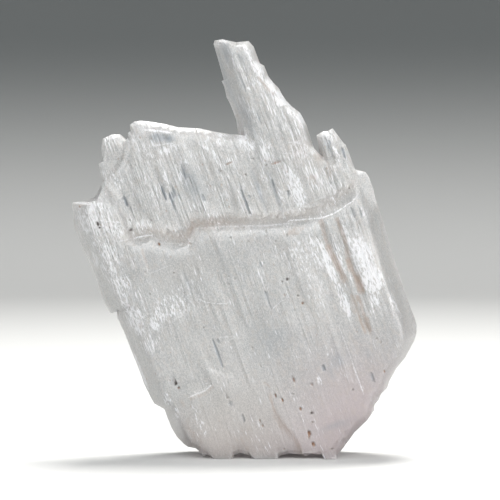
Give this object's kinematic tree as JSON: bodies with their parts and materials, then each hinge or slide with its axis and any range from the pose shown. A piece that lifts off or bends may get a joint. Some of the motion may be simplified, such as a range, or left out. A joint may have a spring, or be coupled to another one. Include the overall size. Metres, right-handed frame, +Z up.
{
  "type": "kunzite crystal",
  "caption": "Flat striated kunzite blade, pale and milky, with an arched growth ledge, a stepped top and a tall side spike; stands leaning on its rough end.",
  "frame": {"origin": "middle of the box across and front to back, on the surface that the crystal stands on", "axes": "+Z up, -Y out of the broad front face, +X to the right as seen from the front"},
  "size_m": [0.037, 0.0094, 0.0448],
  "materials": {
    "kunzite": "milky, see-through at the edges, striated and etched"
  },
  "bodies": {
    "root": {"kunzite_crystal": "kunzite"}
  },
  "joints": []
}
